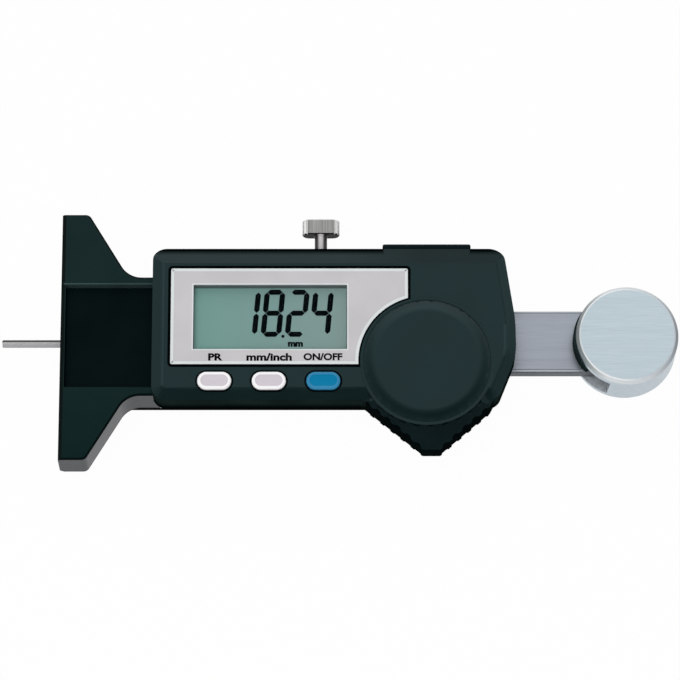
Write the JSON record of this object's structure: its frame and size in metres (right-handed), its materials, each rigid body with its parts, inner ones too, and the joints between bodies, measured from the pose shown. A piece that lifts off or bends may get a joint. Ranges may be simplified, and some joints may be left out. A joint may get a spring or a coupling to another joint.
{
  "type": "digital depth caliper",
  "caption": "Digital depth caliper: T-shaped measuring bridge, thin depth rod on a sliding beam, display housing with keys, flat-headed lock screw and round thumb disc.",
  "frame": {"origin": "on the measuring rod's axis, in the plane of the bridge's measuring face", "axes": "+X along the beam towards the thumb disc, +Y along the bridge towards the lock screw, +Z out of the display"},
  "size_m": [0.1578, 0.0604, 0.0171],
  "materials": {
    "black_metal": "satin black coated, faintly mottled",
    "black_plate": "matt black",
    "steel": "ground",
    "screw_steel": "plain",
    "screw_black": "blackened",
    "frame_steel": "milled",
    "brass": "drawn",
    "housing_plastic": "fine spark-eroded texture",
    "bezel_silver": "fine matt silver with a polished rim",
    "clear_window": "clear",
    "display_green": "grey-green reflective liquid crystal",
    "black_rubber": "matt",
    "board_green": "solder resist",
    "chip_black": "cast resin",
    "switch_metal": "pressed",
    "cell_steel": "nickel plated",
    "contact_spring": "gold-flashed spring",
    "beam_steel": "ground lengthwise, satin chromed",
    "scale_laminate": "printed glass-fibre laminate",
    "scale_silver": "satin silver film",
    "rod_steel": "ground and hardened",
    "disc_aluminium": "brushed across the face, turned rim",
    "knurled_steel": "turned and grooved",
    "key_white": "satin moulded",
    "key_blue": "satin moulded"
  },
  "bodies": {
    "head": {"bridge": "black_metal", "channel_cover": "black_plate", "rod_bush": "steel", "bridge_screws": "screw_steel", "slide_frame": "frame_steel", "gib_strip": "brass", "gib_screws": "screw_steel", "rear_cover": "black_metal", "rear_cover_screws": "screw_black", "housing_shell": "housing_plastic", "housing_base": "housing_plastic", "housing_screws": "screw_steel", "bezel_panel": "bezel_silver", "display_lens": "clear_window", "display_glass": "display_green", "contact_strips": "black_rubber", "circuit_board": "board_green", "driver_chip": "chip_black", "board_screws": "screw_steel", "button_switches": "switch_metal", "coin_cell": "cell_steel", "cell_contact_minus": "contact_spring", "cell_contact_plus": "contact_spring", "port_contacts": "contact_spring"},
    "beam_group": {"beam": "beam_steel", "scale_strip": "scale_laminate", "scale_film": "scale_silver", "measuring_rod": "rod_steel", "rod_set_screws": "screw_steel", "stop_screw": "screw_steel", "thumb_disc": "disc_aluminium", "disc_screws": "screw_steel"},
    "lock_screw": {"lock_screw": "knurled_steel", "lock_pad": "brass"},
    "button_origin": {"button_origin": "key_white"},
    "button_unit": {"button_unit": "key_white"},
    "button_power": {"button_power": "key_blue"},
    "battery_cover": {"battery_cover": "housing_plastic", "battery_seal": "black_rubber"},
    "port_cover": {"port_cover": "housing_plastic"}
  },
  "joints": [
    {"name": "beam_slide", "type": "slide", "parent": "head", "child": "beam_group", "axis": [1, 0, 0], "range_m": [-0.0114, 0.0139]},
    {"name": "lock_screw_turn", "type": "hinge", "parent": "head", "child": "lock_screw", "pos_m": [0.06065, 0.0278, 0], "axis": [0, -1, 0], "range_deg": [-180, 180]},
    {"name": "button_origin_press", "type": "slide", "parent": "head", "child": "button_origin", "axis": [0, 0, -1], "range_m": [0, 0.0005], "stiffness_N_per_m": 800, "springref_m": -0.0005},
    {"name": "button_unit_press", "type": "slide", "parent": "head", "child": "button_unit", "axis": [0, 0, -1], "range_m": [0, 0.0005], "stiffness_N_per_m": 800, "springref_m": -0.0005},
    {"name": "button_power_press", "type": "slide", "parent": "head", "child": "button_power", "axis": [0, 0, -1], "range_m": [0, 0.0005], "stiffness_N_per_m": 800, "springref_m": -0.0005},
    {"name": "battery_cover_lift", "type": "slide", "parent": "head", "child": "battery_cover", "axis": [0, 0, 1], "range_m": [0, 0.008]},
    {"name": "port_cover_pull", "type": "slide", "parent": "head", "child": "port_cover", "axis": [0, 1, 0], "range_m": [0, 0.006]}
  ]
}
